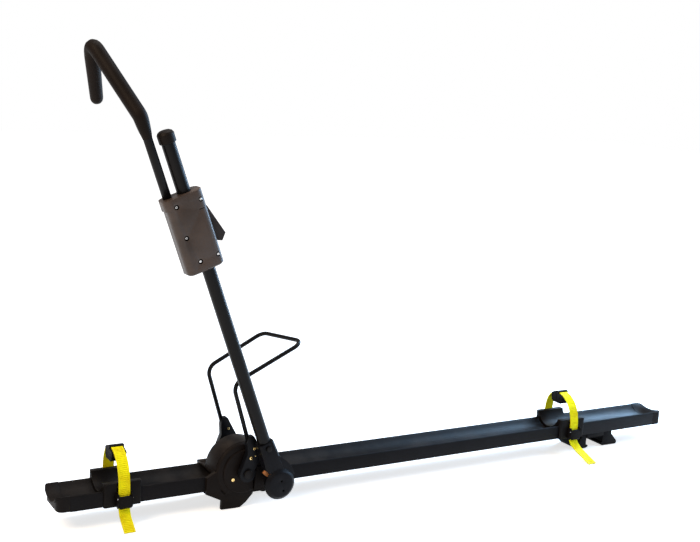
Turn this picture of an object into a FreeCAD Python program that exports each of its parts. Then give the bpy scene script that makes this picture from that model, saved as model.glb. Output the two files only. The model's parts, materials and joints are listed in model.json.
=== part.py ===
import FreeCAD, Part
import math
import os

# Wheel-on upright bike rack for two roof crossbars.
# Frame: +X runs along the tray from the front wheel to the rear wheel, +Z is up,
# and the origin is the centre of the front saddle face that rests on the crossbar.
# The mast stands on the -Y side.

V = FreeCAD.Vector
os.makedirs("parts", exist_ok=True)

# Heights above the crossbar
saddle_pad_t = 3.0
rim_z = 43.0
floor_z = -24.0

# Tray: one roll-formed channel with a concave track on top and a slot underneath
tray_length = 1450.0
tray_front_x = -397.0
tray_width = 76.5
tray_height = 29.7
tray_wall = 1.8
track_sag = 17.0
rim_land = 2.2
slot_width = 46.0

# End caps
cap_plug_depth = 22.0
cap_lip = 26.0
cap_corner_r = 4.0

# Base that carries the hoop and the mast
base_x = -42.0
base_z = 48.0
dome_r = 57.0
dome_wall = 3.5
base_half_y = 48.0
cover_t = 5.0
tunnel_clear = 0.3

# Wheel hoop
hoop_wire_d = 8.0
hoop_half_y = 60.0
hoop_bend_r = 22.0
hoop_pin_r = 5.0
gusset_t = 12.0
gusset_hub_r = 21.0
screw_head_t = 1.0

# Mast
mast_y = -80.0
hub_x = 12.0
hub_z = 31.0
mast_lean = 20.5
mast_d = 24.5
mast_wall = 2.0
mast_top = 690.0
mast_foot = 30.0
cap_r = 15.2
cap_skirt = 678.0
cap_top = 700.0
rack_slot_w = 8.0
rack_slot_h = 5.0
rack_pitch = 12.5
rack_first = 183.0
rack_count = 34
drum_r = 33.0
drum_face_r = 26.0
drum_rim_y = -89.0
drum_face_y = -100.0
hub_core_r = 23.0
hub_sweep_r = 20.0
hub_back_y = -72.0
lug_face_y = -53.7
lug_r = 20.0
spacer_r = 10.5
lock_slant = 134.0
lock_behind = 1.4
lock_t = 5.0
lock_w = 11.0
lock_inner = 12.5
lock_outer = 28.0
lock_travel = 2.8
pivot_r = 7.5
run_clear = 0.06
neck_top = 88.0
neck_near_t = 14.0
neck_far_t = 11.8
washer_t = 2.0
washer_r = 11.0
socket_bolt_at = 77.0
socket_bolt_r = 3.0

# Slider housing on the mast and the hook that it carries
slider_low = 449.0
slider_high = 589.0
slider_rod_side = -44.0
slider_lever_side = 27.0
slider_near_t = 23.0
slider_far_t = 15.4
slider_corner = 13.0
collar_h = 19.0
collar_step = 2.6
rod_offset = -31.7
rod_d = 16.0
rod_seat = 12.0
rod_runs = 2
sleeve_d = 21.0
sleeve_start = 708.0
slide_clear = 0.3
bush_r = 14.0
bush_h = 12.0
hook_turn = 10.0
lever_pin_x = 22.0
lever_pin_z = 551.0
lever_pin_r = 2.0
spring_wire = 1.0
spring_half = 4.0
pawl_pin_x = 18.2
pawl_pin_z = 534.0
rod_pinch_y = -7.8

# Wheel cradles with their straps
cradle_length = 70.0
cradle_half_y = 43.5
cradle_front_x = -312.0
cradle_rear_x = 738.0
cradle_wall_top = 14.0
cradle_skirt = 30.3
strap_width = 21.0
strap_t = 2.4
strap_near_y = 48.6
strap_far_y = 44.2
strap_top = 72.0
strap_arch_r = 38.0
buckle_width = 28.0
buckle_wall = 2.4
buckle_pin_y = 53.0
buckle_pin_z = -12.0
buckle_pin_r = 2.0
strap_from_edge = 36.0
front_tail = 34.0
rear_tail = 74.0

# Crossbar clamps
rear_clamp_x = 856.5
bar_gap = 50.0
jaw_t = 9.0
jaw_lip = 6.0
clamp_bolt_r = 3.0
anchor_t = 3.5
bolt_z = 8.2
front_bolt_y = 20.0


def node(name, shape):
    shape.exportStep("parts/" + name + ".step")


def box(x0, x1, y0, y1, z0, z1):
    return Part.makeBox(x1 - x0, y1 - y0, z1 - z0, V(x0, y0, z0))


def rod_y(x, z, r, y0, y1):
    return Part.makeCylinder(r, y1 - y0, V(x, y0, z), V(0, 1, 0))


def rod_x(y, z, r, x0, x1):
    return Part.makeCylinder(r, x1 - x0, V(x0, y, z), V(1, 0, 0))


def rod_z(x, y, r, z0, z1):
    return Part.makeCylinder(r, z1 - z0, V(x, y, z0), V(0, 0, 1))


def plate_xz(points, y0, y1):
    wire = Part.makePolygon([V(x, y0, z) for x, z in points + points[:1]])
    return Part.Face(wire).extrude(V(0, y1 - y0, 0))


def plate_yz(points, x0, x1):
    wire = Part.makePolygon([V(x0, y, z) for y, z in points + points[:1]])
    return Part.Face(wire).extrude(V(x1 - x0, 0, 0))


def turned_y(profile, x, z):
    """Revolve (radius, y) pairs about the Y axis through (x, z)."""
    wire = Part.makePolygon([V(x + r, y, z) for r, y in profile + profile[:1]])
    return Part.Face(wire).revolve(V(x, 0, z), V(0, 1, 0), 360)


def joined(shapes):
    body = shapes[0].fuse(shapes[1:]) if len(shapes) > 1 else shapes[0]
    return body.removeSplitter()


def edges_along(shape, direction, test):
    """Straight edges that run along a direction and whose middle passes a test."""
    picked = []
    for edge in shape.Edges:
        if not isinstance(edge.Curve, (Part.Line, Part.LineSegment)):
            continue
        run = edge.Vertexes[-1].Point - edge.Vertexes[0].Point
        if run.Length < 1e-6:
            continue
        if abs(abs(run.normalize() * direction) - 1) > 1e-4:
            continue
        if test(edge.CenterOfMass):
            picked.append(edge)
    return picked


def rounded_path(points, radii):
    """Straight runs joined by tangent arcs, one radius for each inner point."""
    edges = []
    start = points[0]
    for i in range(1, len(points) - 1):
        corner = points[i]
        before = (points[i - 1] - corner).normalize()
        after = (points[i + 1] - corner).normalize()
        half = before.getAngle(after) / 2
        back = radii[i - 1] / math.tan(half)
        t0 = corner + before * back
        t1 = corner + after * back
        bisector = (before + after).normalize()
        middle = corner + bisector * (radii[i - 1] / math.sin(half) - radii[i - 1])
        if (t0 - start).Length > 1e-4:
            edges.append(Part.LineSegment(start, t0).toShape())
        edges.append(Part.Arc(t0, middle, t1).toShape())
        start = t1
    if (points[-1] - start).Length > 1e-4:
        edges.append(Part.LineSegment(start, points[-1]).toShape())
    return Part.Wire(edges)


def swept_round(edges, radius):
    """Round bar along straight runs and arcs, as cylinders and torus stretches."""
    pieces = []
    for edge in edges:
        first, last = edge.FirstParameter, edge.LastParameter
        if isinstance(edge.Curve, Part.Circle):
            centre, axis = edge.Curve.Center, edge.Curve.Axis
            ring = Part.Face(Part.Wire(Part.makeCircle(radius, edge.valueAt(first), edge.tangentAt(first))))
            pieces.append(ring.revolve(centre, axis, math.degrees(last - first)))
        else:
            start, end = edge.valueAt(first), edge.valueAt(last)
            pieces.append(Part.makeCylinder(radius, (end - start).Length, start, end - start))
    return pieces[0].fuse(pieces[1:]) if len(pieces) > 1 else pieces[0]


def on_mast(shape):
    """Place a shape drawn with the mast axis as local Z through the hub centre."""
    turned = shape.copy()
    turned.rotate(V(0, 0, 0), V(0, 1, 0), -mast_lean)
    turned.translate(V(hub_x, mast_y, hub_z))
    return turned


# Tray

tray_back_x = tray_front_x + tray_length
half_w = tray_width / 2
tray_bottom = rim_z - tray_height
neck_z = tray_bottom + tray_wall + 0.3


def track_arc(drop, half):
    """Arc of the track across the tray, lowered by drop."""
    low = V(0, 0, rim_z - track_sag - drop)
    return Part.Arc(V(0, -half, rim_z - drop), low, V(0, half, rim_z - drop))


def tray_section(x):
    inner = half_w - tray_wall
    shelf = tray_bottom + tray_wall
    lip = slot_width / 2
    under = rim_z - tray_wall
    top_half = half_w - rim_land
    edges = []
    top = track_arc(0, top_half)
    edges.append(top.toShape())
    outline = [V(0, top_half, rim_z), V(0, half_w, rim_z - rim_land), V(0, half_w, tray_bottom),
               V(0, lip, tray_bottom), V(0, lip, shelf), V(0, inner, shelf), V(0, inner, under - rim_land),
               V(0, top_half - tray_wall / 2, under)]
    for a, b in zip(outline, outline[1:]):
        edges.append(Part.LineSegment(a, b).toShape())
        edges.append(Part.LineSegment(V(0, -a.y, a.z), V(0, -b.y, b.z)).toShape())
    edges.append(track_arc(tray_wall, top_half - tray_wall / 2).toShape())
    wire = Part.Wire(Part.__sortEdges__(edges))
    wire.translate(V(x, 0, 0))
    return wire


def tray():
    x0 = tray_front_x + cap_lip
    x1 = tray_back_x - cap_lip
    face = Part.Face(tray_section(x0))
    return face.extrude(V(x1 - x0, 0, 0))


def end_cap(x_out, x_tray, end_depth, taper):
    """Moulded cap: a rimmed trough end on a tapered boat-shaped body, with a plug."""
    side = 1 if x_out > x_tray else -1
    low, high = min(x_out, x_tray), max(x_out, x_tray)
    block = box(low, high, -half_w, half_w, tray_bottom, rim_z)
    corners = edges_along(block, V(0, 0, 1), lambda m: abs(m.x - x_out) < 0.1)
    block = block.makeFillet(cap_corner_r, corners)
    scoop_r = (half_w ** 2 + track_sag ** 2) / (2 * track_sag)
    end_r = ((half_w - 4) ** 2 + end_depth ** 2) / (2 * end_depth)
    sections = []
    ends = [(x_tray - side, scoop_r, track_sag), (x_out + side, end_r, end_depth)]
    for x, radius, depth in sorted(ends):
        wide = half_w + 6
        drop = wide ** 2 / (2 * radius)
        arc = Part.Arc(V(x, -wide, rim_z - depth + drop), V(x, 0, rim_z - depth), V(x, wide, rim_z - depth + drop))
        lid = [V(x, wide, rim_z - depth + drop), V(x, wide, rim_z + 40), V(x, -wide, rim_z + 40),
               V(x, -wide, rim_z - depth + drop)]
        edges = [arc.toShape()] + [Part.LineSegment(a, b).toShape() for a, b in zip(lid, lid[1:])]
        sections.append(Part.Wire(edges))
    block = block.cut(Part.makeLoft(sections, True, True))
    under = plate_xz([(x_out + side, tray_bottom - 1), (x_out + side, rim_z - 14), (x_out - side * 3, rim_z - 14),
                      (x_out - side * (3 + taper), tray_bottom + 5), (x_out - side * (9 + taper), tray_bottom - 1)],
                     -half_w - 1, half_w + 1)
    block = block.cut(under)
    plug_in = x_tray - side * cap_plug_depth
    plug_half = half_w - tray_wall - 0.1
    plug_floor = tray_bottom + tray_wall + 0.1
    plug = box(min(plug_in, x_tray), max(plug_in, x_tray), -plug_half, plug_half, plug_floor, rim_z)
    plug_low = Part.Wire([track_arc(tray_wall + 0.1, half_w).toShape(),
                          Part.LineSegment(V(0, half_w, rim_z - tray_wall - 0.1), V(0, half_w, rim_z + 9)).toShape(),
                          Part.LineSegment(V(0, half_w, rim_z + 9), V(0, -half_w, rim_z + 9)).toShape(),
                          Part.LineSegment(V(0, -half_w, rim_z + 9),
                                           V(0, -half_w, rim_z - tray_wall - 0.1)).toShape()])
    above = Part.Face(plug_low).extrude(V(cap_plug_depth + 2, 0, 0))
    above.translate(V(min(plug_in, x_tray) - 1, 0, 0))
    plug = plug.cut(above)
    return joined([block, plug])


# Base

foot_outer = -85.0
foot_toe = -47.0
base_skirt_front = -117.0
base_skirt_back = 30.0
cheek_inner = half_w + tunnel_clear
cover_seat_y = base_half_y - cover_t


def tray_tunnel(x0, x1):
    low = tray_bottom - 0.1
    return box(x0, x1, -cheek_inner, cheek_inner, low, rim_z + 0.2)


def base_body():
    """Saddle casting: two cheeks over the tray, the dome above it and the foot below."""
    dome = rod_y(base_x, base_z, dome_r, -base_half_y + cover_t, base_half_y - cover_t)
    dome = dome.cut(box(base_x - 70, base_x + 70, -60, 60, -40, tray_bottom - 8))
    hollow = rod_y(base_x, base_z, dome_r - dome_wall, -cheek_inner + 6, cheek_inner - 6)
    hollow = hollow.common(box(base_x - 70, base_x + 70, -60, 60, rim_z + 3.4, rim_z + 80))
    under_line = [(base_skirt_front, tray_bottom - 0.1), (base_skirt_front, 11), (foot_outer, -5.3),
                  (foot_outer - 0.6, floor_z + 1), (foot_toe - 11, floor_z), (foot_toe, floor_z + 0.4),
                  (-35, -14.9), (-21, 0.4), (-21, saddle_pad_t), (21, saddle_pad_t), (base_skirt_back, 4.5),
                  (base_skirt_back, tray_bottom - 0.1)]
    under = plate_xz(under_line, -base_half_y + 1, 2)
    far_line = [(base_skirt_front, tray_bottom - 0.1), (base_skirt_front, 11), (foot_outer, -5.3),
                (foot_outer, floor_z + 1), (foot_outer + 30, floor_z), (-bar_gap / 2 + 1, floor_z + 2),
                (-bar_gap / 2 + jaw_lip, floor_z + 5), (-bar_gap / 2 + jaw_lip, floor_z + 7.5),
                (-bar_gap / 2, floor_z + 10.5), (-bar_gap / 2, saddle_pad_t), (bar_gap / 2, saddle_pad_t),
                (bar_gap / 2, tray_bottom - 0.1)]
    under_far = plate_xz(far_line, 2, base_half_y - 6)
    cheek = [(base_skirt_front + 12, tray_bottom - 1), (-96, 44), (-90, 64), (base_x, 70), (16, 64), (24, 44),
             (base_skirt_back, tray_bottom - 1)]
    near = plate_xz(cheek, -base_half_y + 1, -cheek_inner)
    far = plate_xz(cheek, cheek_inner, base_half_y - 1)
    body = joined([dome.cut(hollow), under, under_far, near, far])
    body = body.cut(tray_tunnel(base_skirt_front - 5, base_skirt_back + 5))
    for side in (-1, 1):
        seat = box(base_x - 80, base_x + 80, min(side * cover_seat_y, side * 60), max(side * cover_seat_y, side * 60),
                   tray_bottom - 6.2, base_z + 80)
        body = body.cut(seat.common(rod_y(base_x, base_z, dome_r - 0.8, -60, 60)))
    lug = rod_y(hub_x, hub_z, lug_r, lug_face_y, -cheek_inner)
    spacer = rod_y(hub_x, hub_z, spacer_r, hub_back_y + washer_t, lug_face_y)
    web = plate_xz([(hub_x - 34, hub_z - 22), (hub_x - 30, hub_z + 24), (hub_x, hub_z + 19), (hub_x, hub_z - 19)],
                   lug_face_y, -cheek_inner)
    body = joined([body, lug, spacer, web])
    body = body.cut(rod_y(hub_x, hub_z, pivot_r, hub_back_y - 1, -cheek_inner - 1.0))
    body = body.cut(rod_y(base_x, base_z, hoop_pin_r, -base_half_y - 20, base_half_y + 20))
    for x, y in base_bolt_places():
        body = body.cut(rod_z(x, y, clamp_bolt_r, saddle_pad_t + 2.5, 60))
    return body.cut(rod_x(front_bolt_y, bolt_z, clamp_bolt_r, -40, 80)).removeSplitter()


def lock_frame(shape):
    """Place a shape drawn along +X at the hub centre on the mast lock's slant."""
    turned = shape.copy()
    turned.rotate(V(0, 0, 0), V(0, 1, 0), -lock_slant)
    turned.translate(V(hub_x, 0, hub_z))
    return turned


def lock_block(gap, inner, outer):
    """The tab's block in the back of the hub, grown by a gap on its four sides."""
    back = hub_back_y - lock_behind
    return lock_frame(box(inner, outer, back - lock_t - gap, back + gap, -lock_w / 2 - gap, lock_w / 2 + gap))


def mast_lock_tab():
    """Press tab that frees the mast, sliding in a slot in the back of the hub."""
    tab = lock_block(0, lock_inner + lock_travel + slide_clear, lock_outer)
    back = hub_back_y - lock_behind
    grooves = [lock_frame(rod_y(lock_outer, z, 0.7, back - lock_t - 1, back + 1)) for z in (-3.0, 0.0, 3.0)]
    return tab.cut(grooves)


def side_cover(side):
    """Round moulded cover on one side of the dome."""
    y_in = base_half_y - cover_t
    y_out = base_half_y
    profile = [(hoop_pin_r + 0.05, y_in), (dome_r - 1.0, y_in), (dome_r - 1.0, y_in + 1.5), (dome_r - 4.5, y_out),
               (hoop_pin_r + 0.05, y_out)]
    cover = turned_y([(r, side * y) for r, y in profile], base_x, base_z)
    keep = box(base_x - 80, base_x + 80, -80, 80, tray_bottom - 6, base_z + 80)
    cover = cover.common(keep)
    cover = cover.cut(tray_tunnel(base_x - 90, base_x + 90))
    if side < 0:
        cover = cover.cut(rod_y(hub_x, hub_z, lug_r + 0.3, -80, -30))
        web = plate_xz([(hub_x - 35, hub_z - 23), (hub_x - 31, hub_z + 25), (hub_x + 5, hub_z + 20),
                        (hub_x + 5, hub_z - 20)], -60, -30)
        cover = cover.cut(web)
    for x, z in cover_screw_places():
        cover = cover.cut(rod_y(x, z, 2.1, -80, 80))
    return cover


def cover_screw_places():
    return [(base_x - 23, base_z - 13), (base_x + 13, base_z + 23), (base_x - 30, base_z + 26)]


def cover_screws():
    screws = []
    for side in (-1, 1):
        for x, z in cover_screw_places():
            y_head = side * base_half_y
            shank_in = side * (base_half_y - cover_t)
            screws.append(joined([rod_y(x, z, 4.0, min(y_head, y_head + side * 2.4), max(y_head, y_head + side * 2.4)),
                                  rod_y(x, z, 2.0, min(y_head, shank_in), max(y_head, shank_in))]))
    return Part.makeCompound(screws)


def base_bolt_places():
    return [(-92.0, 0.0), (12.0, 0.0)]


def base_anchor_plate():
    """Steel plate inside the tray that the base bolts pull against."""
    z0 = tray_bottom + tray_wall
    half = half_w - tray_wall - 3.0
    plate = box(-104, 24, -half, half, z0, z0 + anchor_t)
    for x, y in base_bolt_places():
        plate = plate.cut(rod_z(x, y, clamp_bolt_r, 0, 60))
    return plate


def base_bolts():
    z_top = tray_bottom + tray_wall + anchor_t
    bolts = []
    for x, y in base_bolt_places():
        head = rod_z(x, y, 5.5, z_top, z_top + 3.0)
        bolts.append(joined([rod_z(x, y, clamp_bolt_r, saddle_pad_t + 2.5, z_top), head]))
    return Part.makeCompound(bolts)


# Crossbar clamps

def hooked_jaw(inner, outer_low, outer_high, side, y0, y1):
    """Jaw with a lip that reaches under the crossbar; inner and outer are distances from its centre."""
    line = [(inner, tray_bottom - 0.5), (inner, floor_z + 10.5), (inner - jaw_lip, floor_z + 7.5),
            (inner - jaw_lip, floor_z + 4.5), (inner, floor_z + 1.5), (outer_low - 3, floor_z + 1.0),
            (outer_low, floor_z + 4), (outer_low - 1, floor_z + 9), (outer_high + 2, 2), (outer_high, tray_bottom - 0.5)]
    return plate_xz([(side * x, z) for x, z in line], y0, y1)


def front_moving_jaw():
    jaw = hooked_jaw(bar_gap / 2 + 0.3, bar_gap / 2 + 10, bar_gap / 2 + 10, 1, front_bolt_y - 14, front_bolt_y + 14)
    return jaw.cut(rod_x(front_bolt_y, bolt_z, clamp_bolt_r + slide_clear, 0, 200))


def clamp_nut(x, y):
    nut = Part.makeCylinder(4.6, 5.0, V(x, y, bolt_z), V(1, 0, 0))
    flats = box(x - 1, x + 6, y - 4.1, y + 4.1, bolt_z - 6, bolt_z + 6)
    nut = nut.common(flats)
    return nut.cut(rod_x(y, bolt_z, clamp_bolt_r + run_clear, x - 2, x + 8))


def front_clamp_bolt():
    shank = rod_x(front_bolt_y, bolt_z, clamp_bolt_r, -40, bar_gap / 2 + 46)
    return shank


def saddle_pad(x, half):
    pad = box(x - half, x + half, -30, 30, 0, saddle_pad_t)
    grooves = [rod_y(x + i * 4.0, -0.2, 1.2, -31, 31) for i in (-3, -1, 1, 3)]
    return pad.cut(grooves)


def rear_clamp_block():
    """Carriage that slides in the tray's slot and sits on the rear crossbar."""
    x = rear_clamp_x
    half = bar_gap / 2 + 0.2
    block = box(x - half, x + half, -32, 32, saddle_pad_t, tray_bottom - 0.3)
    neck = box(x - half, x + half, -slot_width / 2 + 0.4, slot_width / 2 - 0.4, tray_bottom - 1, neck_z)
    plate = box(x - half - 6, x + half + 6, -half_w + tray_wall + 3, half_w - tray_wall - 3, neck_z, neck_z + anchor_t)
    left = hooked_jaw(bar_gap / 2, 52.0, 38.0, -1, -30, 30)
    left.translate(V(x, 0, 0))
    body = joined([block, neck, plate, left])
    return body.cut(rod_x(0, bolt_z, clamp_bolt_r, x - 100, x + 200))


def rear_moving_jaw():
    jaw = hooked_jaw(bar_gap / 2 + 0.5, 69.0, 50.0, 1, -30, 30)
    jaw.translate(V(rear_clamp_x, 0, 0))
    return jaw.cut(rod_x(0, bolt_z, clamp_bolt_r + slide_clear, rear_clamp_x, rear_clamp_x + 200))


def rear_clamp_bolt():
    x = rear_clamp_x
    return rod_x(0, bolt_z, clamp_bolt_r, x - 36, x + 80)


# Hoop

def hoop_points():
    foot = (-38.0, 98.0)
    corner = (-77.0, 224.0)
    near_end = (66.0, 294.0)
    far_end = (38.0, 285.0)
    return foot, corner, near_end, far_end


def hoop_wire():
    foot, corner, near_end, far_end = hoop_points()
    y = hoop_half_y
    points = [V(foot[0], -y, foot[1]), V(corner[0], -y, corner[1]), V(near_end[0], -y, near_end[1]),
              V(far_end[0], y, far_end[1]), V(corner[0], y, corner[1]), V(foot[0], y, foot[1])]
    path = rounded_path(points, [hoop_bend_r, 18, 18, hoop_bend_r])
    return swept_round(path.OrderedEdges, hoop_wire_d / 2)


def hoop_gusset(side):
    """Moulded arm that turns on the hoop pin and holds one leg of the wire."""
    y_mid = side * hoop_half_y
    y0, y1 = y_mid - gusset_t / 2, y_mid + gusset_t / 2
    outline = [(base_x - 18, base_z + 8), (-44.5, 108), (-44.0, 121.0), (-32.0, 121.0), (-12.0, 86.0),
               (base_x + 19, base_z + 6), (base_x, base_z - 10)]
    arm = plate_xz(outline, y0, y1)
    hub = rod_y(base_x, base_z, gusset_hub_r, y0, y1)
    arm = joined([arm, hub])
    rims = edges_along(arm, V(0, 1, 0), lambda m: m.z > 100)
    arm = arm.makeFillet(3.0, rims)
    foot, corner, near_end, far_end = hoop_points()
    bore = rounded_path([V(foot[0], y_mid, foot[1]), V(corner[0], y_mid, corner[1])], [])
    arm = arm.cut(swept_round(bore.OrderedEdges, hoop_wire_d / 2))
    return arm.cut(rod_y(base_x, base_z, hoop_pin_r + run_clear, y0 - 1, y1 + 1))


def hoop_pin():
    reach = hoop_half_y + gusset_t / 2
    pin = rod_y(base_x, base_z, hoop_pin_r, -reach - 0.3, reach + 0.3)
    heads = [rod_y(base_x, base_z, 8.5, -reach - 4.3, -reach - 0.3), rod_y(base_x, base_z, 8.5, reach + 0.3, reach + 4.3)]
    return joined([pin] + heads)


def gusset_screws():
    screws = []
    for side in (-1, 1):
        y_face = side * (hoop_half_y + gusset_t / 2)
        for x, z in ((-33.0, 100.0), (-22.0, 82.0)):
            y_head = y_face + side * screw_head_t
            screws.append(rod_y(x, z, 3.6, min(y_face, y_head), max(y_face, y_head)))
    return Part.makeCompound(screws)


# Mast and its hub

def hub_neck():
    neck = plate_xz([(-19, 4), (21, 4), (17, 60), (14.8, neck_top), (-14.8, neck_top), (-15.2, 60)],
                    -neck_near_t, neck_far_t)
    corners = edges_along(neck, V(0, 0, 1), lambda m: m.y < 0)
    corners += [e for e in neck.Edges if e.BoundBox.YLength < 0.01 and e.CenterOfMass.y < 0
                and e.BoundBox.ZLength > 20]
    return neck.makeChamfer(4.0, corners)


def mast_hub():
    """Casting at the foot of the mast: a round core behind and a tapered socket."""
    core = rod_y(0, 0, hub_core_r, drum_rim_y - mast_y, hub_back_y - mast_y - 0.3)
    neck = hub_neck()
    back_room = rod_y(0, 0, hub_sweep_r, hub_back_y - mast_y - 0.3, 40)
    body = joined([core, neck.cut(back_room)])
    body = body.cut(rod_y(0, 0, pivot_r + 3.6, -neck_near_t - 1, drum_rim_y - mast_y))
    body = body.cut(Part.makeCylinder(mast_d / 2, 200, V(0, 0, mast_foot), V(0, 0, 1)))
    body = body.cut(rod_y(0, 0, pivot_r + run_clear, -40, 40))
    body = body.cut(rod_y(0, socket_bolt_at, socket_bolt_r, -40, 40))
    return on_mast(body).cut(lock_block(slide_clear, lock_inner, lock_outer + 20))


def drum_cover():
    """Domed round cover over the mast pivot."""
    y0 = drum_rim_y
    profile = [(0, y0), (drum_r - 2.0, y0), (drum_r, y0 - 1.6), (drum_r, y0 - 4.0), (drum_face_r, drum_face_y + 0.8),
               (drum_face_r - 5, drum_face_y), (0, drum_face_y)]
    cover = turned_y(profile, hub_x, hub_z)
    for dx, dz in ((0.0, 8.0), (5.0, -13.0)):
        cover = cover.cut(rod_y(hub_x + dx, hub_z + dz, 2.4, drum_face_y - 1, drum_face_y + 5))
    recess = rod_y(hub_x, hub_z, pivot_r + 3.6, y0 - 6.0, y0 + 1)
    return cover.cut(recess).cut(on_mast(hub_neck()))


def pivot_bolt():
    """Mast pivot: a shouldered bolt held in the base, with its head under the cover."""
    y_head = drum_rim_y - 0.2
    shank = rod_y(hub_x, hub_z, pivot_r, y_head, -cheek_inner - 1.0)
    head = rod_y(hub_x, hub_z, pivot_r + 3.0, y_head - 5.0, y_head)
    return joined([shank, head])


def friction_washer():
    ring = rod_y(hub_x, hub_z, washer_r, hub_back_y, hub_back_y + washer_t)
    return ring.cut(rod_y(hub_x, hub_z, pivot_r + run_clear, hub_back_y - 1, hub_back_y + washer_t + 1))


def mast_tube():
    tube = Part.makeCylinder(mast_d / 2, mast_top - mast_foot, V(0, 0, mast_foot), V(0, 0, 1))
    bore = Part.makeCylinder(mast_d / 2 - mast_wall, mast_top - mast_foot + 2, V(0, 0, mast_foot - 1), V(0, 0, 1))
    tube = tube.cut(bore)
    slots = []
    for i in range(rack_count):
        z = rack_first + i * rack_pitch
        slots.append(box(mast_d / 2 - mast_wall - 1.2, mast_d / 2 + 1, -rack_slot_w / 2, rack_slot_w / 2,
                         z - rack_slot_h / 2, z + rack_slot_h / 2))
    tube = tube.cut(slots)
    tube = tube.cut(rod_y(0, socket_bolt_at, socket_bolt_r, -40, 40))
    return on_mast(tube)


def mast_cap():
    """Domed end cap pressed over the top of the mast."""
    profile = [(0, mast_top), (mast_d / 2, mast_top), (mast_d / 2, cap_skirt), (cap_r - 0.6, cap_skirt),
               (cap_r, cap_skirt + 0.6), (cap_r, cap_top - 6.5), (cap_r - 2.2, cap_top - 2.8),
               (cap_r - 6.0, cap_top - 0.6), (cap_r - 10.0, cap_top), (0, cap_top)]
    wire = Part.makePolygon([V(r, 0, z) for r, z in profile + profile[:1]])
    return on_mast(Part.Face(wire).revolve(V(0, 0, 0), V(0, 0, 1), 360))


def socket_bolt():
    bolt = rod_y(0, socket_bolt_at, socket_bolt_r, -neck_near_t, neck_far_t)
    head = rod_y(0, socket_bolt_at, socket_bolt_r + 2.2, -neck_near_t - 3.6, -neck_near_t)
    return on_mast(joined([bolt, head]))


# Slider, release lever and hook

def slider_block():
    low, high = slider_low, slider_high
    body = box(slider_rod_side, slider_lever_side, -slider_near_t, slider_far_t, low, high)
    corners = edges_along(body, V(0, 0, 1), lambda m: True)
    body = body.makeFillet(slider_corner, corners)
    collar = box(slider_rod_side - collar_step, slider_lever_side, -slider_near_t, slider_far_t, high - collar_h,
                 high)
    corners = edges_along(collar, V(0, 0, 1), lambda m: True)
    collar = collar.makeFillet(slider_corner, corners)
    body = joined([body, collar])
    rims = [e for e in body.Edges if e.BoundBox.ZLength < 0.01 and abs(e.BoundBox.ZMin - low) < 0.01]
    body = body.makeChamfer(3.0, rims)
    body = body.cut(Part.makeCylinder(mast_d / 2 + slide_clear, 400, V(0, 0, 300), V(0, 0, 1)))
    for z in bush_places():
        body = body.cut(Part.makeCylinder(bush_r, bush_h, V(0, 0, z), V(0, 0, 1)))
    body = body.cut(Part.makeCylinder(rod_d / 2, 400, V(rod_offset, 0, low + rod_seat), V(0, 0, 1)))
    return body.cut(lever_pocket())


def bush_places():
    return [slider_low + 4.0, slider_high - 4.0 - bush_h]


def slider_bushes():
    """Nylon rings that run on the mast, one at each end of the slider."""
    rings = []
    for z in bush_places():
        ring = Part.makeCylinder(bush_r, bush_h, V(0, 0, z), V(0, 0, 1))
        rings.append(on_mast(ring.cut(Part.makeCylinder(mast_d / 2 + run_clear, bush_h, V(0, 0, z), V(0, 0, 1)))))
    return Part.makeCompound(rings)


def lever_pocket():
    pocket = box(mast_d / 2 - 3, slider_lever_side + 5, -11.0, 11.0, 478.0, 560.0)
    return pocket


def slider_screw_places():
    return [(-28.0, 574.0), (18.0, 572.0), (-28.0, 517.0), (-17.0, 469.0), (18.0, 469.0)]


def slider_shell(side):
    keep = box(-80, 80, -60, 0, 400, 700) if side < 0 else box(-80, 80, 0, 60, 400, 700)
    shell = slider_block().common(keep)
    for x, z in slider_screw_places():
        if side < 0:
            shell = shell.cut(rod_y(x, z, 4.4, -slider_near_t - 1, -slider_near_t + 2.4))
        shell = shell.cut(rod_y(x, z, 1.9, -slider_near_t, 8.0))
    shell = shell.cut(rod_y(lever_pin_x, lever_pin_z, lever_pin_r, -15.0, 13.5))
    shell = shell.cut(rod_y(pawl_pin_x, pawl_pin_z, lever_pin_r, -15.0, 13.5))
    return on_mast(shell)


def slider_screws():
    screws = []
    for x, z in slider_screw_places():
        head = rod_y(x, z, 3.6, -slider_near_t + 0.4, -slider_near_t + 2.4)
        reach = rod_pinch_y if x < rod_offset + rod_d / 2 else 8.0
        shank = rod_y(x, z, 1.9, -slider_near_t + 2.4, reach)
        screws.append(on_mast(joined([head, shank])))
    return Part.makeCompound(screws)


def release_lever():
    """Squeeze lever on the side of the slider, hinged at its top end."""
    outline = [(20.5, 546.0), (25.5, 556.0), (29.0, 554.5), (47.0, 496.0), (37.0, 484.5), (29.5, 488.0), (26.5, 520.0)]
    blade = plate_xz(outline, -10.0, 10.0)
    knuckle = rod_y(lever_pin_x, lever_pin_z, 4.2, -10.0, 10.0)
    lever = joined([blade, knuckle])
    lever = lever.cut(rod_y(lever_pin_x, lever_pin_z, lever_pin_r + run_clear, -11, 11))
    relief = box(14, 27.6, -7.0, 7.0, 480, 541)
    lever = lever.cut(relief)
    spring_room = rod_y(lever_pin_x, lever_pin_z, 4.6, -4.5, 4.5).fuse(box(10, 22, -4.5, 4.5, 540, 560))
    return on_mast(lever.cut(spring_room))


def lever_pin():
    return on_mast(rod_y(lever_pin_x, lever_pin_z, lever_pin_r, -15.0, 13.5))


def lever_spring():
    """Torsion spring on the lever pin, as the sleeve that its turns fill."""
    turns = rod_y(lever_pin_x, lever_pin_z, lever_pin_r + spring_wire + 0.2, -spring_half, spring_half)
    return on_mast(turns.cut(rod_y(lever_pin_x, lever_pin_z, lever_pin_r + 0.2, -spring_half, spring_half)))


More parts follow.
